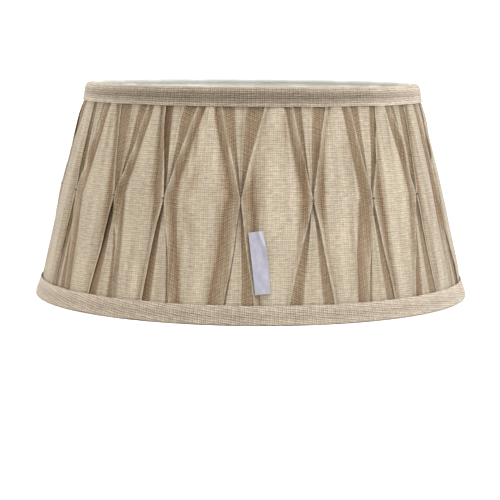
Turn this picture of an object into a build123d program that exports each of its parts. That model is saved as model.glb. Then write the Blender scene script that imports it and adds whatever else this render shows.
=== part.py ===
from build123d import *
import os
from math import cos, radians, sin

# Pinch-pleated lamp shade: a hard translucent liner between two wire rings, a linen cover pleated
# over it and pinched together at mid height, cloth bands over both rims, and a three-arm spider
# that carries the ring for the lampholder. The origin is the centre of the bottom opening, +Z is
# up, and the front is -Y. Lengths are in mm, and angles are counted from the front to the right.

# Driving dimensions.
height = 170.0
bottom_diameter = 350.0
rim_build = 4.6  # cloth and band outside the liner at the bottom rim
wall_lean = 0.24  # radius lost for each mm of height
liner_thickness = 0.5
band_height = 14.0
band_wrap = 0.8  # the part of a band that lies over the rim
ring_wire = 3.0
ring_gap = 0.05  # left between a ring and the sheet or band it lies against
arm_wire = 3.5
arm_angles = (0.0, 120.0, 240.0)
arm_bend = 16.0  # radius of an arm's two bends
arm_top_end, arm_foot_start = 114.0, 40.0  # distances from the axis where an arm's slope begins and ends
arm_overlap = 3.5  # how far an arm reaches under the fitter ring
fitter_recess = 30.0  # from the top rim down to the seat of the fitter ring
fitter_diameter = 58.0
fitter_bore = 42.0
fitter_thickness = 2.0
fitter_round = 0.6
reducer_diameter = 52.0
reducer_bore = 29.0
reducer_flange = 1.8
reducer_round = 0.7
fit_clearance = 0.15
pleat_count = 18
pinch_height = 88.5
first_pinch = -3.0
# Hand sewing sets each pinch a few degrees off its even place.
pinch_drift = (0, 0, -1, -2, -5, -4, -3, -1, -2, 0, 1, -1, 0, -1, -2, 1, 1, -2)
recess_floor = 2.0  # cloth left between the liner and the floor of a recess
stitch_width, stitch_height, stitch_depth = 4.0, 1.6, 0.8
stitch_round = 0.7
label_width, label_length, label_thickness = 11.0, 46.5, 0.7
label_round = 0.6
label_top_angle, label_bottom_angle = 1.1, 2.9
label_bottom_height = 21.7
label_stand = 3.9  # from the liner out to the back of the label

liner_foot_radius = bottom_diameter / 2 - rim_build
band_bottom = height - band_height
rim_low = band_wrap
rim_high = height - band_wrap
# Outside of the cover as (height, distance out from the liner). Both ends are pressed flat
# under the bands, and the free stretch between them is proudest at the pinches.
low_press = ((rim_low, 2.8), (2.4, 4.1), (7.0, 3.6), (band_height, 2.9))
free_stretch = ((50.0, 3.2), (pinch_height, 4.0), (120.0, 3.5))
high_press = ((band_bottom, 3.0), (162.0, 3.5), (167.0, 3.8), (rim_high, 2.9))
# Outside of the bands, in the same terms, between their rounded rims and their free edges.
low_band_face = ((7.0, 4.5), (band_height, 3.8))
high_band_face = ((167.2, 4.6), (162.0, 4.4), (band_bottom, 3.8))
low_band_round = 2.2
high_band_crown = 2.6  # where the flat top of the top band ends, out from the liner


def at(z, out=0.0):
    """The section's point at height z, so far out from the liner's outer face."""
    return (liner_foot_radius - wall_lean * z + out, z)


def facing(angle, reach=0.0):
    """A plane whose normal points out of the shade at an angle, reach mm from the axis."""
    turn = radians(angle)
    outward = Vector(sin(turn), -cos(turn), 0)
    return Plane(origin=outward * reach, x_dir=(cos(turn), sin(turn), 0), z_dir=outward)


def section(angle):
    """The upright half plane of a section, with x out from the axis and y up."""
    turn = radians(angle)
    return Plane(origin=(0, 0, 0), x_dir=(sin(turn), -cos(turn), 0), z_dir=(-cos(turn), -sin(turn), 0))


def finish(part, name):
    """Labels a finished piece and writes it."""
    part.label = name
    export_step(part, f"parts/{name}.step")


pinch_angles = [first_pinch + 360 / pleat_count * k + pinch_drift[k] for k in range(pleat_count)]

# Liner: a plain cone of hard translucent sheet.
with BuildPart() as liner:
    with BuildSketch(Plane.XZ):
        Polygon(
            at(rim_low),
            at(rim_high),
            at(rim_high, -liner_thickness),
            at(rim_low, -liner_thickness),
            align=None,
        )
    revolve(axis=Axis.Z)
finish(liner.part, "liner")

# Wire rings, tangent to the liner's inner face and to the bands' wraps.
ring_inset = (liner_thickness + ring_wire / 2) * (1 + wall_lean**2) ** 0.5 + ring_gap
top_ring_height = rim_high - ring_wire / 2 - ring_gap
bottom_ring_height = rim_low + ring_wire / 2 + ring_gap


def wire_ring(z):
    """A wire ring inside the liner at height z."""
    with BuildPart() as ring:
        with BuildSketch(Plane.XZ):
            with Locations(at(z, -ring_inset)):
                Circle(ring_wire / 2)
        revolve(axis=Axis.Z)
    return ring.part


top_ring = wire_ring(top_ring_height)
finish(top_ring, "top_ring")
finish(wire_ring(bottom_ring_height), "bottom_ring")

# Fitter ring: the washer that sits on the lampholder.
fitter_seat = height - fitter_recess
fitter_underside = fitter_seat - fitter_thickness
with BuildPart() as fitter_ring:
    with BuildSketch(Plane.XY.offset(fitter_underside)):
        Circle(fitter_diameter / 2)
        Circle(fitter_bore / 2, mode=Mode.SUBTRACT)
    extrude(amount=fitter_thickness)
    outer_edges = fitter_ring.edges().filter_by(GeomType.CIRCLE).group_by(SortBy.RADIUS)[-1]
    fillet(outer_edges, radius=fitter_round)
finish(fitter_ring.part, "fitter_ring")

# Spider arms: wires from under the top ring down to the underside of the fitter ring. Each end
# is sunk a little into what it is welded to.
weld = 0.5
arm_high = top_ring_height - (ring_wire + arm_wire) / 2 + weld
arm_low = fitter_underside - arm_wire / 2 + weld
arm_route = (
    (at(top_ring_height, -ring_inset + 1)[0], arm_high),
    (arm_top_end, arm_high),
    (arm_foot_start, arm_low),
    (fitter_diameter / 2 - arm_overlap, arm_low),
)


def spider_arm(angle):
    """One arm, cut to fit against both rings."""
    with BuildPart() as arm:
        with BuildLine(section(angle)) as route:
            FilletPolyline(*arm_route, radius=arm_bend)
        with BuildSketch(Plane(origin=route.line @ 0, z_dir=route.line % 0)):
            Circle(arm_wire / 2)
        sweep()
        add(top_ring, mode=Mode.SUBTRACT)
        add(fitter_ring.part, mode=Mode.SUBTRACT)
    return arm.part


for number, angle in enumerate(arm_angles, start=1):
    finish(spider_arm(angle), f"spider_arm_{number}")

# Reducer ring: a loose flanged ring that drops into the fitter ring for a small lampholder.
with BuildPart() as reducer_ring:
    with BuildSketch(Plane.XY.offset(fitter_seat)):
        Circle(reducer_diameter / 2)
    extrude(amount=reducer_flange)
    rim_edge = reducer_ring.edges().group_by(Axis.Z)[-1]
    fillet(rim_edge, radius=reducer_round)
    with BuildSketch(Plane.XY.offset(fitter_underside)):
        Circle(fitter_bore / 2 - fit_clearance)
    extrude(amount=fitter_thickness)
    with BuildSketch(Plane.XY.offset(fitter_underside)):
        Circle(reducer_bore / 2)
    extrude(amount=fitter_thickness + reducer_flange, mode=Mode.SUBTRACT)
finish(reducer_ring.part, "reducer_ring")

# Recesses of the cover: above and below each pinch the cloth falls back in a V between the
# two fold edges that meet there.
v_mouth_top, v_mouth_bottom, v_tip = 14.0, 18.0, 1.2
v_gap = 4.0
v_depth = 5.0  # from the floor out to past the cover's face
recess_start, recess_reach = 120.0, 60.0
with BuildPart() as recesses:
    with BuildSketch(Plane.XZ):
        Polygon(
            at(band_height, recess_floor),
            at(band_bottom, recess_floor),
            at(band_bottom, recess_floor + v_depth),
            at(band_height, recess_floor + v_depth),
            align=None,
        )
    revolve(axis=Axis.Z)
    with BuildSketch(*[facing(angle, recess_start) for angle in pinch_angles]):
        Polygon(
            (-v_tip, pinch_height + v_gap),
            (v_tip, pinch_height + v_gap),
            (v_mouth_top, band_bottom),
            (-v_mouth_top, band_bottom),
            align=None,
        )
        Polygon(
            (-v_tip, pinch_height - v_gap),
            (-v_mouth_bottom, band_height),
            (v_mouth_bottom, band_height),
            (v_tip, pinch_height - v_gap),
            align=None,
        )
    extrude(amount=recess_reach, mode=Mode.INTERSECT)

# Pleated cover: the cloth's outer shape over the liner, less the recesses.
with BuildPart() as pleated_cover:
    with BuildSketch(Plane.XZ):
        with BuildLine():
            Polyline(*[at(z, out) for z, out in low_press])
            ends = (low_press[-1], high_press[0])
            Spline(*[at(z, out) for z, out in (ends[0], *free_stretch, ends[1])])
            Polyline(*[at(z, out) for z, out in high_press])
            Polyline(at(*high_press[-1]), at(rim_high), at(rim_low), at(*low_press[0]))
        make_face()
    revolve(axis=Axis.Z)
    cover_body = pleated_cover.part
    add(recesses.part, mode=Mode.SUBTRACT)
finish(pleated_cover.part, "pleated_cover")

# Pinch stitches: a short bar of thread round the two folds at each pinch, on the cover's face.
with BuildPart() as pinch_stitches:
    with BuildSketch(Plane.XZ):
        Polygon(
            at(pinch_height - stitch_height / 2, recess_floor),
            at(pinch_height - stitch_height / 2, free_stretch[1][1] + stitch_depth),
            at(pinch_height + stitch_height / 2, free_stretch[1][1] + stitch_depth),
            at(pinch_height + stitch_height / 2, recess_floor),
            align=None,
        )
    revolve(axis=Axis.Z)
    with BuildSketch(*[facing(angle, recess_start) for angle in pinch_angles]):
        with Locations((0, pinch_height)):
            RectangleRounded(stitch_width, stitch_height * 2, stitch_round)
    extrude(amount=recess_reach, mode=Mode.INTERSECT)
    add(cover_body, mode=Mode.SUBTRACT)
finish(pinch_stitches.part, "pinch_stitches")

# Bands: bias tape over the pressed cloth, turned over each rim onto the wire ring.
bottom_radius = bottom_diameter / 2
wrap_reach = ring_inset + ring_wire / 2
low_wrap_inside = at(0, -wrap_reach)[0]
high_wrap_inside = at(height, -wrap_reach)[0]
with BuildPart() as bottom_band:
    with BuildSketch(Plane.XZ):
        with BuildLine():
            foot = (bottom_radius - low_band_round, 0)
            widest = (bottom_radius, low_band_round)
            face = [at(z, out) for z, out in low_band_face]
            Line((low_wrap_inside, 0), foot)
            flank = TangentArc(foot, widest, tangent=(1, 0))
            Spline(widest, *face, tangents=(flank % 1, (-wall_lean, 1)))
            Line(face[-1], at(*low_press[-1]))
            Polyline(*[at(z, out) for z, out in reversed(low_press)])
            Polyline(at(*low_press[0]), (low_wrap_inside, rim_low), (low_wrap_inside, 0))
        make_face()
    revolve(axis=Axis.Z)
finish(bottom_band.part, "bottom_band")

with BuildPart() as top_band:
    with BuildSketch(Plane.XZ):
        with BuildLine():
            crown = at(height, high_band_crown)
            face = [at(z, out) for z, out in high_band_face]
            Line((high_wrap_inside, height), crown)
            TangentArc(crown, face[0], tangent=(1, 0))
            Spline(*face)
            Line(face[-1], at(*high_press[0]))
            Polyline(*[at(z, out) for z, out in high_press])
            Polyline(at(*high_press[-1]), (high_wrap_inside, rim_high), (high_wrap_inside, height))
        make_face()
    revolve(axis=Axis.Z)
finish(top_band.part, "top_band")

# Label: a narrow folded tape sewn by its left edge along one fold, and free on its other sides.
label_top_height = label_bottom_height + label_length / (1 + wall_lean**2) ** 0.5


def outside(angle, z, out):
    """A point in space at an angle and height, so far out from the liner."""
    reach = at(z, out)[0]
    return Vector(reach * sin(radians(angle)), -reach * cos(radians(angle)), z)


label_low = outside(label_bottom_angle, label_bottom_height, label_stand)
label_top = outside(label_top_angle, label_top_height, label_stand)
label_up = (label_top - label_low).normalized()
label_across = Vector(cos(radians(label_bottom_angle)), sin(radians(label_bottom_angle)), 0)
label_face = label_across.cross(label_up).normalized()
label_plane = Plane(
    origin=(label_low + label_top) * 0.5, x_dir=label_up.cross(label_face), z_dir=label_face
)
with BuildPart() as label:
    with BuildSketch(label_plane):
        RectangleRounded(label_width, label_length, label_round)
    extrude(amount=label_thickness)
finish(label.part, "label")
hinge = label_plane.from_local_coords(Vector(-label_width / 2, 0, label_thickness / 2))
print("label hinge point", [round(v, 3) for v in hinge], "along", [round(v, 6) for v in label_up])
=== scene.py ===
"""Looks of the pinch-pleated lamp shade: linen laid in pleats round a hard liner and caught up at
eighteen pinches, bias tape over both rims, a small sewn label, and a white wire frame.

Shapes are worked out in mm, with angles in degrees counted from the front (-Y) to the right, and
with "out" as the distance from the liner's outer face. Meshes are written in metres.
"""

import math

import bpy
import numpy as np
from mathutils import Matrix, Vector


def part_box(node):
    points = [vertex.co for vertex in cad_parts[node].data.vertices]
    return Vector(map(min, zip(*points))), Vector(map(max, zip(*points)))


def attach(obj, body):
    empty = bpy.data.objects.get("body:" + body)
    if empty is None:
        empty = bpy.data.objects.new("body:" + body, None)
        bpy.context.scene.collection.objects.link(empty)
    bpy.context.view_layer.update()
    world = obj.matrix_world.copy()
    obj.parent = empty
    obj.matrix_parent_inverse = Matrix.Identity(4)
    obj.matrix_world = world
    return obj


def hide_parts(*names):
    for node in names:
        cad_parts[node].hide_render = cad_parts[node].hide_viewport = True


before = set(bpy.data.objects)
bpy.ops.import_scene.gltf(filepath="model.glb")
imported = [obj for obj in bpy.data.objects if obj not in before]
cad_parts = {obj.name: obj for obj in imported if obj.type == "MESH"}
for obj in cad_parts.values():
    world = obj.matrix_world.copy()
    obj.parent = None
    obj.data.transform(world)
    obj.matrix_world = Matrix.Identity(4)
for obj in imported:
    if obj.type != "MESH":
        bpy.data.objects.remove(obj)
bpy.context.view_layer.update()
MM = 0.001

# Each pinch, from the front one on to the right. The first four numbers say how far its fold
# edges are from it, in mm, where they go under the bands: top left, top right, bottom left,
# bottom right. The letters give the same four edges' kinds.
#   o  the panel's edge lies over the V and throws a thin shadow into it
#   d  the same, but gaping, with a deep shadow
#   r  the edge stands up as a ridge, with a soft valley between it and the panel
#   w  the same, with the valley further off
#   s  the edge is low and soft
PINCHES = (
    (-15, 16, -11, 11, "sowo"),
    (-11, 15, -22, 12, "rooo"),
    (-10, 16, -15, 9, "rowo"),
    (-12, 9, -23, 5, "rsdo"),
    (-4, 13, -13, 12, "rsdr"),
    (-12, 14, -18, 15, "roor"),
    (-15, 12, -16, 17, "oros"),
    (-10, 15, -20, 13, "rroo"),
    (-14, 13, -15, 18, "soro"),
    (-13, 16, -19, 15, "orso"),
    (-16, 11, -17, 16, "roor"),
    (-12, 15, -20, 12, "rsoo"),
    (-10, 13, -14, 17, "oroo"),
    (-14, 15, -18, 14, "rors"),
    (-6, 18, -12, 13, "drdo"),
    (-5, 16, -6, 14, "orro"),
    (-11, 17, -12, 14, "srdo"),
    (-7, 19, -10, 13, "drdr"),
)
cell_cloth = 78.0  # flat cloth from the middle of one panel to the middle of the next
cover_rows = 76
half_columns = 38  # cloth points from a V's centre line to the middle of a panel
pinch_gap = 0.35  # half the distance between the two edges at a pinch
# By kind: how proud a fold edge is, how deep the valley on its panel side is, how far that is from
# it at the bands, and how much of the V beside it lies in its shadow, partly by the fold gaping and
# partly as painted shadow.
RIDGE = {"o": 0.2, "d": 0.4, "r": 0.7, "w": 0.1, "s": -1.0}
VALLEY = {"o": 0.3, "d": 0.4, "r": 2.4, "w": 2.5, "s": 1.6}
BESIDE = {"o": 1.3, "d": 2.0, "r": 4.5, "w": 10.0, "s": 5.0}
GAPE = {"o": 0.06, "d": 0.5, "r": 0.06, "w": 0.0, "s": 0.0}
# Where the fold in the middle of a V ends, as a share of the way to each of the four fold
# edges; the fold is painted lighter than the V beside it. The keys are rows of PINCHES, and the
# other pinches get shares of their own at random.
MIDDLE_FOLD = {
    0: (0.35, 0.05, 0.85, 0.05),
    1: (0.45, 0.10, 0.36, 0.45),
    2: (0.30, 0.50, 0.70, 0.30),
    16: (0.05, 0.35, 0.20, 0.45),
    17: (0.45, 0.10, 0.30, 0.75),
}
# Heights and how far out the panels stand there.
PANEL_STAND = ((2, 2.0), (14, 2.45), (20, 2.9), (30, 3.05), (50, 3.3), (70, 3.9), (86, 4.0),
               (104, 3.9), (124, 3.5), (150, 3.3), (156, 2.65), (168, 2.2))
weft_pitch, warp_pitch = 1.62, 1.5  # from one thread of the weave to the next


# Places read from the frame.


def node_points(node):
    """A CAD node's vertices, in mm."""
    return np.array([v.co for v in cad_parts[node].data.vertices]) / MM


def wall_line():
    """Height and radius of the liner's outer face at its foot and at its head."""
    points = node_points("liner")
    radius = np.hypot(points[:, 0], points[:, 1])
    heights = points[:, 2].min(), points[:, 2].max()
    return heights, tuple(radius[abs(points[:, 2] - z) < 0.1].max() for z in heights)


def pinch_places():
    """The angle of each pinch, from the front one on to the right, and their common height."""
    points = node_points("pinch_stitches")
    angles = np.sort(np.degrees(np.arctan2(points[:, 0], -points[:, 1])))
    stitches = np.split(angles, np.nonzero(np.diff(angles) > 5)[0] + 1)
    middles = np.array([(stitch[0] + stitch[-1]) / 2 for stitch in stitches])
    front = np.argmin(abs(middles))
    middles = np.roll(middles, -front)
    middles[middles < middles[0]] += 360
    return middles, (points[:, 2].min() + points[:, 2].max()) / 2


wall_heights, wall_radii = wall_line()
wall_lean = (wall_radii[0] - wall_radii[1]) / (wall_heights[1] - wall_heights[0])
slant = math.hypot(1, wall_lean)
pinch_angles, pinch_height = pinch_places()
bottom_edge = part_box("bottom_band")[1].z / MM
top_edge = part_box("top_band")[0].z / MM
rim_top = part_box("top_band")[1].z / MM


def wall(z):
    """Radius of the liner's outer face at a height."""
    return wall_radii[0] - wall_lean * (z - wall_heights[0])


# Curves and meshes.


def spline_weights(count, samples):
    """Weights of the control points of a clamped cubic spline, one row for each sample."""
    inner = np.linspace(0, 1, count - 2)
    knots = np.concatenate([np.zeros(3), inner, np.ones(3)])
    t = np.linspace(0, 1, samples)
    weights = ((knots[:-1] <= t[:, None]) & (t[:, None] < knots[1:])).astype(float)
    weights[-1, count - 1] = 1
    for degree in (1, 2, 3):
        raised = np.zeros((samples, weights.shape[1] - 1))
        for j in range(raised.shape[1]):
            rise = knots[j + degree] - knots[j]
            fall = knots[j + degree + 1] - knots[j + 1]
            if rise > 0:
                raised[:, j] += (t - knots[j]) / rise * weights[:, j]
            if fall > 0:
                raised[:, j] += (knots[j + degree + 1] - t) / fall * weights[:, j + 1]
        weights = raised
    return weights


def level(z, points):
    """Reads a soft curve through (height, value) points, averaged over 5 mm up and down."""
    heights, values = zip(*points)
    shifts = np.linspace(-5, 5, 9)
    return np.mean([np.interp(z + shift, heights, values) for shift in shifts], axis=0)


def ripples(angle, z, seed, slowest, fastest):
    """Gentle waves with their crests mostly up and down the wall, about -1 to 1.

    Each wave has from slowest to fastest crests in a full turn round the shade.
    """
    random = np.random.default_rng(seed)
    count, total = 7, 0
    for turns in random.integers(slowest, fastest, count):
        phase, tilt, bend = random.uniform(-3, 3, 3)
        total = total + np.sin(turns * np.radians(angle) + phase + 0.012 * tilt * z
                               + 0.5 * np.sin(0.03 * z + bend))
    return total / count**0.5


def on_wall(angle, radius, z):
    """Points in space, in mm."""
    turn = np.radians(angle)
    return np.stack([radius * np.sin(turn), -radius * np.cos(turn), z + 0 * turn], axis=-1)


def sheet_mesh(name, points, cloth=None, painted_light=None):
    """A smooth sheet from a grid of points in mm, with its cloth position and painted light and
    shade.
    """
    rows, columns = points.shape[:2]
    corner = (np.arange(rows - 1)[:, None] * columns + np.arange(columns - 1)).ravel()
    faces = np.stack([corner, corner + 1, corner + columns + 1, corner + columns], axis=1)
    mesh = bpy.data.meshes.new(name)
    mesh.from_pydata((points.reshape(-1, 3) * MM).tolist(), [], faces.tolist())
    mesh.polygons.foreach_set("use_smooth", np.ones(len(faces), bool))
    if cloth is not None:
        place = np.zeros((rows * columns, 3), np.float32)
        place[:, :2] = cloth.reshape(-1, 2)
        mesh.attributes.new("cloth", "FLOAT_VECTOR", "POINT").data.foreach_set(
            "vector", place.ravel())
    if painted_light is not None:
        mesh.attributes.new("painted_light", "FLOAT", "POINT").data.foreach_set(
            "value", painted_light.astype(np.float32).ravel())
    piece = bpy.data.objects.new(name, mesh)
    bpy.context.scene.collection.objects.link(piece)
    return piece


# The pleated cover.


def arm_share(share, bow):
    """How far along its spread a fold edge is, share being 0 at the pinch and 1 at a band."""
    return share + bow * share * (1 - share)


def edge_line(z, top, bottom, bows):
    """A fold edge's distance from its pinch along the wall."""
    above = np.clip((z - pinch_height) / (top_edge - pinch_height), 0, None)
    below = np.clip((pinch_height - z) / (pinch_height - bottom_edge), 0, None)
    return top * arm_share(above, bows[0]) + bottom * arm_share(below, bows[1])


def by_rim(z, top, bottom):
    """A value for each height from one for the stretch above the pinch and one for below."""
    share = 0.5 + 0.5 * np.tanh((z - pinch_height) / 3)
    return bottom + (top - bottom) * share


def half_profile(z, crease, middle, kinds, shares, random):
    """Cloth from a V's centre line out to the middle of the next panel, one row for each height.

    Crease and middle are the distances from the centre line to the fold edge and to the panel's
    middle. Kinds and shares are those of the edge above and below the pinch. Returns distances
    along the wall, distances out, the painted light on the cloth (below 1 painted shade, above 1 a
    painted highlight), its flat cloth position across, and how far its threads droop.
    """
    # The valley between a fold edge and its panel: how deep it is and how far it reaches.
    drop = abs(z - pinch_height)
    away = np.clip(drop / (top_edge - pinch_height), 0, 1)
    near = np.exp(-((drop / 22) ** 2))
    stand = level(z, PANEL_STAND)
    ridge = by_rim(z, *[RIDGE[kind] for kind in kinds])
    valley = by_rim(z, *[VALLEY[kind] for kind in kinds])
    beside = by_rim(z, *[BESIDE[kind] for kind in kinds]) + random.uniform(-0.5, 1.5) * away
    gape = by_rim(z, *[GAPE[kind] for kind in kinds])
    reach = (by_rim(z, *random.uniform(6.5, 9.5, 2))
             + by_rim(z, *random.uniform(0.04, 0.09, 2)) * drop)
    strip = ((crease + beside) ** 6 + reach**6) ** (1 / 6) - crease
    strip = np.minimum(strip, 0.55 * (middle - crease))
    # shade sets how deep the valley goes and how dark its painted shade is.
    shade = np.clip(np.maximum(valley / 2.6, (strip - 1) / 5), 0, 1)
    valley = np.maximum(valley * (1 - 0.3 * away), 2.7 * shade)
    rest = middle - crease - strip
    bottom = np.maximum(stand - valley, 1.5)

    # The fold edge, the cloth hidden under it, and the V's floor with its middle fold.
    edge = stand + np.maximum(ridge * (1 - 0.5 * away), 0.9 * near)
    hidden = np.clip((cell_cloth / 2 - middle) / 2, 2.5, 0.9 * (middle - crease))
    fold = by_rim(z, *random.uniform(0.9, 1.7, 2)) * np.clip(crease / 5, 0, 1) * (1 - 0.3 * away)
    floor = 1.25 + 0.35 * away
    tucked = floor + np.clip(1 - 2 * gape, 0, 1) * np.clip(edge - 0.75 - floor, 0, None)
    where = by_rim(z, *shares) * crease
    side = crease - where
    line = np.ones_like(z)
    # Distance along the wall, distance out and painted light (below 1 painted shade, above 1 a
    # painted highlight), from the centre line on.
    control = (
        (0 * line, floor + 0.5 * fold, 0.85 * line),
        (0.5 * where, floor + 0.75 * fold, 0.95 * line),
        (0.9 * where, floor + fold, 1.0 * line),
        (where + 0.08 * side, floor + 0.95 * fold, 0.85 * line),
        (where + 0.14 * side, floor + 0.4 * fold, 0.45 * line),
        (where + 0.35 * side, floor + 0.05 * fold, 0.33 * line),
        (0.9 * crease - 0.4 * gape * crease, floor - 0.6 * gape, 0.45 - 0.8 * gape),
        (crease - 0.2, tucked, 0.65 - 0.9 * gape),
        (crease + 0.7, tucked, 0.65 - 0.9 * gape),
        (crease + 0.5 * hidden, 0.6 * line, 0.3 * line),
        (crease + hidden + 0.2, 0.5 * line, 0.3 * line),
        (crease + hidden + 0.2, 0.95 * line, 0.3 * line),
        (crease + 0.5 * hidden, 1.1 * line, 0.3 * line),
        (crease + 0.8, edge - 0.9, 0.8 * line),
        (crease - 0.3, edge - 0.6, 0.9 * line),
        (crease - 0.15, edge + 0.2, 1.1 * line),
        (crease + 0.8, edge + 0.05, 1.05 - 0.4 * shade),
        (crease + 0.4 * strip, 0.5 * edge + 0.5 * bottom, 1 - 0.5 * shade),
        (crease + 0.8 * strip, bottom, 1 - 0.6 * shade),
        (crease + strip, bottom, 1 - 0.95 * shade),
        (crease + strip + 0.09 * rest, stand - 0.5 * valley, 1 - 0.45 * shade),
        (crease + strip + 0.22 * rest, stand - 0.12 * valley, 1 - 0.1 * shade),
        (crease + strip + 0.45 * rest, stand + 0.1, line),
        (crease + strip + 0.75 * rest, stand + 0.3, 1.02 * line),
        (middle, stand + 0.35, 1.02 * line),
    )
    weights = spline_weights(len(control), half_columns)
    along, out, painted_light_level = (np.stack(values, axis=1) @ weights.T for values in zip(*control))

    # Flat cloth position, counted from the V's centre line. The part under the panel takes up
    # what the pleat has over.
    columns = np.arange(half_columns)
    step = np.hypot(np.diff(along), np.diff(out))
    arc = np.concatenate([np.zeros((len(z), 1)), np.cumsum(step, axis=1)], axis=1)
    spare = cell_cloth / 2 - arc[:, -1:]
    # The columns at the foot of the middle fold, at the tuck's turn and at the fold edge's tip.
    foot, tuck, tip = (np.argmax(weights[:, number]) for number in (4, 11, 16))
    past_tuck = np.interp(columns, [tuck, tip], [0, 1])
    flat = arc + spare * past_tuck

    # Threads droop towards the pinch, between a valley and its ridge and beside the middle fold.
    slope = 0.6 * np.tanh((z - pinch_height) / 8)
    from_tip = np.clip(arc - arc[:, tip:tip + 1], 0, None)
    droop = np.clip(strip[:, None] - from_tip, 0, None) * past_tuck
    droop += 0.7 * np.clip(arc - arc[:, foot:foot + 1], 0, crease[:, None]) * (columns < tip)
    return along, out, painted_light_level, flat, slope[:, None] * droop


def cover_grid():
    """Points, cloth positions and painted light and shade of the whole cover, from one panel middle
    round.
    """
    spread = np.linspace(-1, 1, cover_rows)
    spread = 0.72 * spread + 0.28 * spread**3  # rows closer together at the pinches
    low, high = wall_heights[0] + 1.5, wall_heights[1] - 1.5
    z = np.where(spread > 0, pinch_height + spread * (high - pinch_height),
                 pinch_height + spread * (pinch_height - low))
    cloth_out = 3  # where distances round the wall are measured
    per_mm = np.degrees(1 / (wall(z) + cloth_out))
    count = len(PINCHES)
    random = np.random.default_rng(11)
    lefts, rights = [], []
    for top_left, top_right, bottom_left, bottom_right, _ in PINCHES:
        for side, ends in ((lefts, (top_left, bottom_left)), (rights, (top_right, bottom_right))):
            wander = 0.35 * np.sin(z / random.uniform(9, 16) + random.uniform(0, 6))
            side.append(edge_line(z, *ends, random.uniform(-0.1, 0.4, 2))
                        + wander * np.clip(abs(z - pinch_height) / 20, 0, 1))
    edge_angles = [(pinch_angles[k] + lefts[k] * per_mm, pinch_angles[k] + rights[k] * per_mm)
                   for k in range(count)]

    grids = []
    for k in range(count):
        before = edge_angles[k - 1][1] - (360 if k == 0 else 0)
        after = edge_angles[(k + 1) % count][0] + (360 if k == count - 1 else 0)
        left_middle = (before + edge_angles[k][0]) / 2
        right_middle = (edge_angles[k][1] + after) / 2
        centre = pinch_angles[k] + (lefts[k] + rights[k]) / 2 * per_mm
        crease = np.hypot((rights[k] - lefts[k]) / 2, pinch_gap)
        kinds = PINCHES[k][4]
        for side, middle, pair in ((-1, left_middle, kinds[0::2]), (1, right_middle, kinds[1::2])):
            distance = abs(middle - centre) / per_mm
            shares = MIDDLE_FOLD.get(k, random.uniform(0.1, 0.55, 4))
            shares = shares[0::2] if side < 0 else shares[1::2]
            along, out, painted_light_level, flat, droop = half_profile(z, crease, distance, pair, shares,
                                                               random)
            angle = centre[:, None] + side * along * per_mm[:, None]
            across = (k + 0.5) * cell_cloth + side * flat
            up = z[:, None] * slant + droop
            part = np.stack([angle, out, across, up, painted_light_level], axis=-1)
            grids.append(part[:, ::-1][:, :-1] if side < 0 else part[:, :-1])

    # The last column closes the ring a full turn on.
    last = grids[0][:, :1].copy()
    last[..., 0] += 360
    last[..., 2] += count * cell_cloth
    grid = np.concatenate([*grids, last], axis=1)
    angle, out, across, up, painted_light_level = np.moveaxis(grid, -1, 0)

    # Ripples on the cloth that stands off the liner and isn't held by a band, with painted shade
    # along them.
    raised = np.clip((out - 1.6) / 1.5, 0, 1)
    free = level(z, ((14, 0), (24, 1), (146, 1), (156, 0)))[:, None]
    broad, fine = (ripples(angle, z[:, None], seed, *turns)
                   for seed, turns in ((5, (30, 90)), (6, (90, 200))))
    out = out + raised * free * (0.55 * broad + 0.26 * fine)
    # Painted shade that follows the ripples.
    painted_light_level = painted_light_level - raised * free * (0.14 * broad + 0.12 * fine)
    heights = z[:, None] + 0 * angle
    points = on_wall(angle, wall(z)[:, None] + out, heights)
    return points, np.stack([across, up], axis=-1), painted_light_level


# Bands over the rims.


def band(name, section, seed, front_painted_light=1.0, bias=0.0):
    """A tape round the shade from its cross section, as (out, height) control points.

    Its threads climb by bias mm for each mm round. It is painted with shade: its painted light is
    the fourth argument at the middle of the front and rises to 1 along both edges and round the
    sides. Returns the piece and the tape's width along its section.
    """
    rows, columns = 40, 541
    weights = spline_weights(len(section), rows)
    out, z = (weights @ np.array(section, float)).T
    angle = np.linspace(0, 360, columns) + 171  # the ends meet near the back
    turn = np.radians(angle)
    wave = 0.10 * ripples(angle[None, :], z[:, None], seed, 20, 70)
    lift = 0.12 * ripples(angle, 0, seed + 1, 8, 40)
    points = on_wall(angle[None, :] + 0 * z[:, None], (wall(z) + out)[:, None] + wave,
                     z[:, None] + lift * (out > 2)[:, None])
    arc = np.concatenate([[0], np.cumsum(np.hypot(np.diff(out), np.diff(z)))])
    across = turn * wall(z).mean() + 0 * z[:, None]
    up = arc[:, None] + bias * across
    # Painted shade: darkest at the middle of the front, none along both edges and round the sides.
    edge = np.clip(abs(arc / arc[-1] - 0.5) * 2, 0, 1)[:, None]
    edge = np.clip(edge + 0.1 * np.sin(turn) + 0.9 * (1 - np.cos(turn)), 0, 1)
    return sheet_mesh(name, points, np.stack([across, up], axis=-1),
                      front_painted_light + (1 - front_painted_light) * edge + 0 * across), arc[-1]


# Materials.


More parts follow.
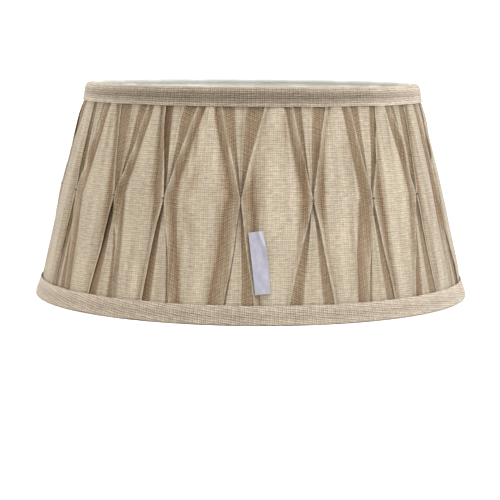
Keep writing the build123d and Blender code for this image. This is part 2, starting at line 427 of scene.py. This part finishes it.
class Finish:
    """A material under construction: adds nodes and wires their inputs."""

    def __init__(self, name):
        self.material = bpy.data.materials.new(name)
        self.material.use_nodes = True
        self.nodes = self.material.node_tree.nodes
        self.links = self.material.node_tree.links
        self.shader = self.nodes["Principled BSDF"]

    def wire(self, value, socket):
        """Links an output to a socket, or sets the socket's own value."""
        if isinstance(value, bpy.types.NodeSocket):
            self.links.new(value, socket)
        else:
            socket.default_value = value

    def add(self, kind, inputs=None, output=0, **settings):
        """Adds a node, fills its inputs by name or number, and returns one of its outputs."""
        made = self.nodes.new("ShaderNode" + kind)
        for name, value in settings.items():
            setattr(made, name, value)
        for key, value in (inputs or {}).items():
            self.wire(value, made.inputs[key])
        return made.outputs[output]

    def math(self, operation, *values):
        return self.add("Math", dict(enumerate(values)), operation=operation)

    def mix(self, factor, a, b, blend="MIX"):
        return self.add("Mix", {0: factor, 6: a, 7: b}, 2, data_type="RGBA", blend_type=blend)

    def stretch(self, vector, scale):
        return self.add("VectorMath", {0: vector, 1: scale}, operation="MULTIPLY")

    def split(self, vector):
        """A vector's three parts."""
        made = self.nodes.new("ShaderNodeSeparateXYZ")
        self.links.new(vector, made.inputs[0])
        return tuple(made.outputs)

    def noise(self, vector, scale, detail=2.0):
        """Soft noise from 0 to 1 on a vector that is stretched first."""
        return self.add("TexNoise", {"Vector": self.stretch(vector, scale), "Scale": 1.0,
                                     "Detail": detail})

    def between(self, value, low, high, to_low=0.0, to_high=1.0):
        """Maps a value's range onto another, without going past its ends."""
        return self.add("MapRange", {0: value, 1: low, 2: high, 3: to_low, 4: to_high})

    def ridges(self, value, pitch):
        """A wave from 0 to 1 with a crest every pitch."""
        wave = self.math("SINE", self.math("MULTIPLY", value, 2 * math.pi / pitch))
        return self.math("MULTIPLY_ADD", wave, 0.5, 0.5)

    def bump(self, height, distance, strength):
        """Bumps whose height is distance, in mm."""
        return self.add("Bump", {"Height": height, "Distance": distance * MM,
                                 "Strength": strength})

    def set(self, **values):
        """Sets or links the main shader's sockets."""
        for name, value in values.items():
            self.wire(value, self.shader.inputs[name.replace("_", " ")])

    def glow_through(self, colour, share, normal=None):
        """Lets some light through the surface."""
        inputs = {"Color": colour}
        if normal is not None:
            inputs["Normal"] = normal
        through = self.add("BsdfTranslucent", inputs)
        mixed = self.add("MixShader", {0: share, 1: self.shader.outputs[0], 2: through})
        self.links.new(mixed, self.nodes["Material Output"].inputs["Surface"])


def rgb(red, green, blue):
    """A linear colour from 0 to 255 display values."""
    linear = [((v / 255 + 0.055) / 1.055) ** 2.4 for v in (red, green, blue)]
    return (*linear, 1.0)


def woven(name, light, dark, painted_shade_tint, painted_deep_shade_tint):
    """Slubby plain weave that follows the cloth, with painted shade that makes it darker and
    browner deep in the folds, and a painted highlight on the fold edges.
    """
    f = Finish(name)
    cloth = f.add("Attribute", attribute_name="cloth", output=1)
    painted_light = f.add("Attribute", attribute_name="painted_light", output=2)
    wander = f.math("MULTIPLY_ADD", f.noise(cloth, (0.10, 0.22, 1)), 1.6, -0.8)
    sway = f.math("MULTIPLY_ADD", f.noise(cloth, (0.22, 0.10, 1)), 1.6, -0.8)
    across, up, _ = f.split(cloth)
    along = f.math("ADD", across, sway)
    up = f.math("ADD", up, wander)
    weight = f.between(f.noise(cloth, (0.13, 0.5, 1)), 0.3, 0.7, 0.3, 1.1)
    weft = f.math("MULTIPLY", f.math("SUBTRACT", f.ridges(up, weft_pitch), 0.5), weight)
    warp = f.ridges(along, warp_pitch)
    over = f.math("MULTIPLY", f.ridges(up, 2 * weft_pitch), f.ridges(along, 2 * warp_pitch))
    thread = f.math("MULTIPLY_ADD", warp, 0.2, f.math("MULTIPLY_ADD", weft, 0.42, 0.21))
    thread = f.math("MULTIPLY_ADD", over, 0.15, thread)

    slub = f.noise(cloth, (0.2, 0.75, 1), 3)
    slub_up = f.noise(cloth, (0.75, 0.12, 1), 3)
    patch = f.noise(cloth, (0.06, 0.025, 1), 2)
    tone = f.between(thread, 0.08, 0.7)
    # Painted shade: where the cloth is painted shaded, the gaps between threads go half way to
    # black.
    gap = f.mix(f.between(painted_light, 0.4, 0.95), f.mix(0.5, dark, (0, 0, 0, 1)), dark)
    colour = f.mix(tone, gap, light)
    streak = f.math("ADD", f.between(slub, 0.3, 0.7, -0.18, 0.18),
                    f.between(slub_up, 0.3, 0.7, -0.08, 0.08))
    streak = f.math("ADD", streak, f.between(patch, 0.3, 0.7, 0.93, 1.07))
    colour = f.mix(1.0, colour, f.add("CombineColor", {0: streak, 1: streak, 2: streak}),
                   "MULTIPLY")
    # Painted shade, darker and browner down into the folds, then a painted highlight where the
    # painted light goes over 1.
    shade = f.mix(f.between(painted_light, 0.0, 0.5), painted_deep_shade_tint, painted_shade_tint)
    shade = f.mix(f.between(painted_light, 0.5, 1.0), shade, (1, 1, 1, 1))
    shade = f.mix(f.between(painted_light, 1.02, 1.1), shade, (1.1, 1.1, 1.1, 1))
    colour = f.mix(1.0, colour, shade, "MULTIPLY")
    rise = f.math("MULTIPLY_ADD", slub, 0.5, thread)
    normal = f.bump(rise, 0.25, 0.6)
    f.set(Base_Color=colour, Roughness=f.between(thread, 0.0, 1.0, 0.95, 0.82), Normal=normal)
    f.set(Sheen_Weight=0.12, Sheen_Roughness=0.5, Specular_IOR_Level=0.25)
    f.glow_through(colour, 0.18, normal)
    return f.material


def liner_sheet(name, dull, backlit_stripe_colour):
    """Hard white sheet with a faint fibre grain, and painted stripes of light round it, one for
    each pinch.
    """
    f = Finish(name)
    place = f.add("TexCoord", output=3)
    fibre = f.noise(place, (900, 900, 120), 3)
    cloud = f.noise(place, (18, 18, 9), 2)
    x, y, _ = f.split(place)
    # Painted light: lighter stripes round the sheet, one for each pinch.
    turn = f.math("ARCTAN2", x, f.math("MULTIPLY", y, -1.0))
    painted_backlight_stripe = f.math("SINE", f.math("MULTIPLY_ADD", turn, float(len(PINCHES)), 0.9))
    colour = f.mix(f.between(painted_backlight_stripe, 0.2, 0.8), dull, backlit_stripe_colour)
    colour = f.mix(f.between(cloud, 0.3, 0.7, 0, 0.35), colour, dull)
    normal = f.bump(fibre, 0.05, 0.4)
    f.set(Base_Color=colour, Roughness=f.between(fibre, 0.3, 0.7, 0.45, 0.6), Normal=normal)
    f.glow_through(colour, 0.06)
    return f.material


def coated_wire():
    """White powder coating with a fine orange peel and faint handling marks."""
    f = Finish("ring_coating")
    place = f.add("TexCoord", output=3)
    peel = f.noise(place, (1400, 1400, 1400), 3)
    worn = f.noise(place, (60, 60, 60), 4)
    colour = f.mix(f.between(worn, 0.45, 0.75), rgb(198, 196, 190), rgb(178, 176, 168))
    normal = f.bump(peel, 0.08, 0.5)
    f.set(Base_Color=colour, Roughness=f.between(worn, 0.3, 0.7, 0.32, 0.5), Normal=normal)
    f.set(Specular_IOR_Level=0.5)
    return f.material


def moulded_plastic():
    """White moulded plastic with a fine spark texture."""
    f = Finish("reducer_plastic")
    place = f.add("TexCoord", output=3)
    spark = f.noise(place, (2200, 2200, 2200), 2)
    flow = f.noise(place, (70, 70, 25), 2)
    colour = f.mix(f.between(flow, 0.35, 0.7), rgb(206, 204, 197), rgb(193, 191, 183))
    normal = f.bump(spark, 0.04, 0.5)
    f.set(Base_Color=colour, Roughness=f.between(flow, 0.3, 0.7, 0.36, 0.48), Normal=normal)
    f.set(Subsurface_Weight=0.05)
    return f.material


def satin():
    """Lilac-white satin ribbon: floats of fine warp threads and a soft gloss."""
    f = Finish("label_satin")
    cloth = f.add("Attribute", attribute_name="cloth", output=1)
    across, up, _ = f.split(cloth)
    warp = f.ridges(across, 0.28)
    weft = f.ridges(up, 0.6)
    float_run = f.noise(cloth, (3.0, 0.35, 1), 2)
    cloud = f.noise(cloth, (0.25, 0.12, 1), 2)
    colour = f.mix(f.between(cloud, 0.3, 0.7), rgb(148, 146, 157), rgb(169, 168, 178))
    colour = f.mix(f.between(float_run, 0.35, 0.65, 0, 0.35), colour, rgb(141, 139, 154))
    rise = f.math("MULTIPLY_ADD", weft, 0.4, f.math("MULTIPLY", warp, 0.6))
    normal = f.bump(rise, 0.06, 0.6)
    f.set(Base_Color=colour, Roughness=f.between(float_run, 0.3, 0.7, 0.32, 0.5), Normal=normal)
    f.set(Sheen_Weight=0.3, Anisotropic=0.4)
    f.glow_through(colour, 0.15)
    return f.material


def thread_finish():
    """Twisted sewing thread."""
    f = Finish("thread")
    place = f.add("TexCoord", output=3)
    strand = f.noise(place, (2500, 2500, 5000), 2)
    colour = f.mix(f.between(strand, 0.35, 0.65), rgb(66, 54, 38), rgb(112, 94, 70))
    f.set(Base_Color=colour, Roughness=0.8, Normal=f.bump(strand, 0.1, 0.8))
    return f.material


def floor_finish():
    """Plain pale floor."""
    f = Finish("floor_paint")
    place = f.add("TexCoord", output=3)
    grain = f.noise(place, (9, 9, 9), 3)
    colour = f.mix(f.between(grain, 0.3, 0.7), rgb(243, 242, 240), rgb(246, 246, 245))
    f.set(Base_Color=colour, Roughness=0.9)
    return f.material


# Pieces.

# The last two colours of each are painted shade tints: a light one and a deep one for the folds.
linen = woven("linen", rgb(188, 177, 158), rgb(149, 135, 114), (0.78, 0.67, 0.56, 1),
              (0.58, 0.39, 0.26, 1))
tape = woven("band_tape", rgb(218, 205, 187), rgb(146, 130, 110), (0.46, 0.43, 0.39, 1),
             (0.36, 0.32, 0.28, 1))

cover = sheet_mesh("linen_cover", *cover_grid())
cover.data.materials.append(linen)
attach(cover, "root")
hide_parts("pleated_cover")

ring_inset = 3.7  # from the liner's outer face in to the inner side of a wire ring
# Cross sections as (out, height): the liner sheet rolled over each ring, and the tapes.
TOP_ROLL = ((-ring_inset - 0.1, rim_top - 2.9), (-ring_inset - 0.3, rim_top - 1.6),
            (-ring_inset + 0.4, rim_top - 0.2), (-1.5, rim_top - 0.1), (0.4, rim_top - 0.3),
            (0.3, rim_top - 1.2))
TOP_SECTION = ((-0.6, rim_top - 0.6), (-0.6, rim_top + 0.1), (0.4, rim_top),
               (2.4, rim_top - 0.05), (4.0, rim_top - 0.5),
               (4.75, rim_top - 2.4), (4.6, rim_top - 5), (4.4, rim_top - 8),
               (4.2, top_edge + 3), (4.1, top_edge + 0.9), (4.15, top_edge + 0.1),
               (3.75, top_edge - 0.35), (3.35, top_edge + 0.4), (3.3, top_edge + 2),
               (3.3, top_edge + 4))
# The top tape is painted darker at the middle of the front, as painted shade.
top_band, top_width = band("top_tape", TOP_SECTION, 21, 0.35)
top_roll, _ = band("top_rolled_edge", TOP_ROLL, 23)
BOTTOM_ROLL = tuple((out, rim_top - z) for out, z in TOP_ROLL)
bottom_roll, _ = band("bottom_rolled_edge", BOTTOM_ROLL, 33)
BOTTOM_SECTION = ((-0.6, 0.8), (-0.6, 0.2), (0.4, 0.2), (2.4, 0.2),
                  (4.3, 0.35), (5.1, 1.2), (5.15, 2.6), (4.9, 5), (4.5, 8.5),
                  (4.1, bottom_edge - 2.4), (4.05, bottom_edge - 0.8), (4.15, bottom_edge - 0.05),
                  (3.75, bottom_edge + 0.35), (3.3, bottom_edge - 0.4), (3.2, bottom_edge - 2),
                  (3.2, bottom_edge - 4))
# The bottom tape is painted a little darker at the middle of the front, as painted shade.
bottom_band, bottom_width = band("bottom_tape", BOTTOM_SECTION, 31, 0.7, bias=0.13)
for piece, node in ((top_band, "top_band"), (bottom_band, "bottom_band")):
    piece.data.materials.append(tape)
    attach(piece, "root")
    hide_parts(node)


def label_corners():
    """The outer face's four corners, as rows from the bottom up and left before right."""
    points = node_points("label")
    reach = np.hypot(points[:, 0], points[:, 1]) + wall_lean * points[:, 2]
    outer = points[reach > reach.mean()]
    label_lean, side_weight = 0.12, 4  # it leans to the left going up, and is taller than wide
    side = side_weight * (outer[:, 0] + label_lean * outer[:, 2])
    corners = [outer[np.argmax(up * outer[:, 2] + right * side)]
               for up in (-1, 1) for right in (-1, 1)]
    return np.array(corners).reshape(2, 2, 3)


def label_piece():
    """A ribbon that curls a little off the cover along its free side, with its width and length."""
    low, high = label_corners()
    across = np.linspace(0, 1, 25)[None, :, None]
    up = np.linspace(0, 1, 61)[:, None, None]
    foot = low[0] * (1 - across) + low[1] * across
    head = high[0] * (1 - across) + high[1] * across
    grid = foot * (1 - up) + head * up
    length, width = np.linalg.norm(high[0] - low[0]), np.linalg.norm(low[1] - low[0])
    face = np.cross(low[1] - low[0], high[0] - low[0])
    face /= np.linalg.norm(face)
    free = across[..., 0]
    height = up[..., 0]
    crest = np.clip(0.67 + 0.8 * (1 - height), 0, 1)  # a soft fold from the top to the free side
    curl = 0.9 * free**2 * (0.5 + 0.5 * np.cos(2.2 * np.pi * height))
    curl = curl + 1.2 * np.exp(-((free - crest) / 0.13) ** 2) * np.clip(height * 2 - 0.6, 0, 1)
    curl = curl + 0.25 * np.sin(np.pi * free) * np.sin(5 * height + 1)
    bulge = 0.9 * free**2 * np.sin(np.pi * height) ** 2
    grid = grid + face * curl[..., None] + (low[1] - low[0]) / width * bulge[..., None]
    cloth = np.stack([free * width + 0 * height, height * length + 0 * free], axis=-1)
    piece = sheet_mesh("label_ribbon", grid, cloth)
    return piece, width, length


ribbon, ribbon_width, ribbon_length = label_piece()
ribbon.data.materials.append(satin())
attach(ribbon, "label")
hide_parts("label")


def knots():
    """Thread loops that hold each pinch, all in one piece."""
    curve = bpy.data.curves.new("pinch_thread", "CURVE")
    curve.dimensions = "3D"
    curve.bevel_depth = 0.22 * MM
    curve.bevel_resolution = 2
    random = np.random.default_rng(3)
    loop_pitch, loop_out = 0.45, 4.85
    t = np.linspace(0, 2 * np.pi, 13)[:-1]
    for angle in pinch_angles:
        for turn in (-1, 0, 1):
            z = pinch_height + turn * loop_pitch + 0.25 * np.sin(t + random.uniform(0, 6))
            side = random.uniform(0.75, 1.0) * np.cos(t)
            out = loop_out + 0.45 * np.sin(t)
            places = on_wall(angle + side * math.degrees(1 / wall(pinch_height)),
                             wall(z) + out, z) * MM
            spline = curve.splines.new("POLY")
            spline.points.add(len(places) - 1)
            spline.points.foreach_set("co", np.c_[places, np.ones(len(places))].ravel())
            spline.use_cyclic_u = True
    shown = bpy.data.objects.new("pinch_thread", curve)
    bpy.context.scene.collection.objects.link(shown)
    mesh = bpy.data.meshes.new_from_object(shown)
    bpy.data.objects.remove(shown)
    piece = bpy.data.objects.new("pinch_threads", mesh)
    bpy.context.scene.collection.objects.link(piece)
    mesh.polygons.foreach_set("use_smooth", np.ones(len(mesh.polygons), bool))
    return piece


threads = knots()
threads.data.materials.clear()
threads.data.materials.append(thread_finish())
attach(threads, "root")
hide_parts("pinch_stitches")

coating = coated_wire()
hard_sheet = liner_sheet("liner_sheet", rgb(240, 239, 232), rgb(253, 252, 247))
# The rolled edges are the same liner sheet, painted darker as painted shade.
shaded_rolled_sheet = liner_sheet("shaded_rolled_sheet", rgb(190, 190, 184), rgb(200, 200, 194))
for roll in (top_roll, bottom_roll):
    roll.data.materials.append(shaded_rolled_sheet)
    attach(roll, "root")
finishes = {"liner": hard_sheet, "reducer_ring": moulded_plastic()}
for name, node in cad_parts.items():
    if not node.hide_render:
        for material_slot in node.material_slots:
            material_slot.material = finishes.get(name, coating)

# Stage, light and camera.


def backdrop():
    """A floor that sweeps up far behind the object."""
    section = ((-6, 0), (-2, 0), (2, 0), (5, 0), (7.5, 0), (9, 0.3), (9.6, 2), (9.8, 6), (9.8, 12))
    weights = spline_weights(len(section), 60)
    y, z = (weights @ np.array(section)).T
    x = np.linspace(-12, 12, 25)
    grid = np.stack([x[None, :] + 0 * y[:, None], y[:, None] + 0 * x, z[:, None] + 0 * x], axis=-1)
    piece = sheet_mesh("floor", grid / MM)
    piece.data.materials.append(floor_finish())


def area_light(name, place, size, power, aim=(0, 0, 0.09), colour=(1.0, 0.985, 0.96)):
    """A round soft light that points at aim."""
    lamp = bpy.data.lights.new(name, "AREA")
    lamp.shape = "DISK"
    lamp.size = size
    lamp.energy = power
    lamp.color = colour
    holder = bpy.data.objects.new(name, lamp)
    holder.location = place
    ray = Vector(aim) - holder.location
    holder.rotation_euler = ray.to_track_quat("-Z", "Y").to_euler()
    bpy.context.scene.collection.objects.link(holder)


backdrop()
area_light("key_light", (2.2, -1.2, 1.4), 0.9, 51, colour=(0.96, 0.985, 1.05))
area_light("fill_light", (-2.3, -0.7, 1.1), 1.2, 23)
area_light("top_light", (0, -0.6, 2.0), 1.0, 27)
area_light("back_light", (0, 3.5, 3.2), 3.0, 350, aim=(0, 6.5, 0.5))
world = bpy.data.worlds.new("studio")
bpy.context.scene.world = world
world.use_nodes = True
sky = world.node_tree.nodes["Background"]
sky.inputs["Color"].default_value = (1, 1, 1, 1)
sky.inputs["Strength"].default_value = 0.78
bpy.context.scene.view_settings.view_transform = "Standard"

camera = bpy.data.cameras.new("camera")
camera.lens = 120.1
camera.sensor_width = 36.0
eye = bpy.data.objects.new("camera", camera)
eye.location = (-0.0010, -1.3569, 0.2042)
pitch_down, roll = math.radians(7.18), 0.0082
eye.matrix_basis = (Matrix.Translation(eye.location)
                    @ Matrix.Rotation(math.pi / 2 - pitch_down, 4, "X")
                    @ Matrix.Rotation(roll, 4, "Z"))
bpy.context.scene.collection.objects.link(eye)
bpy.context.scene.camera = eye
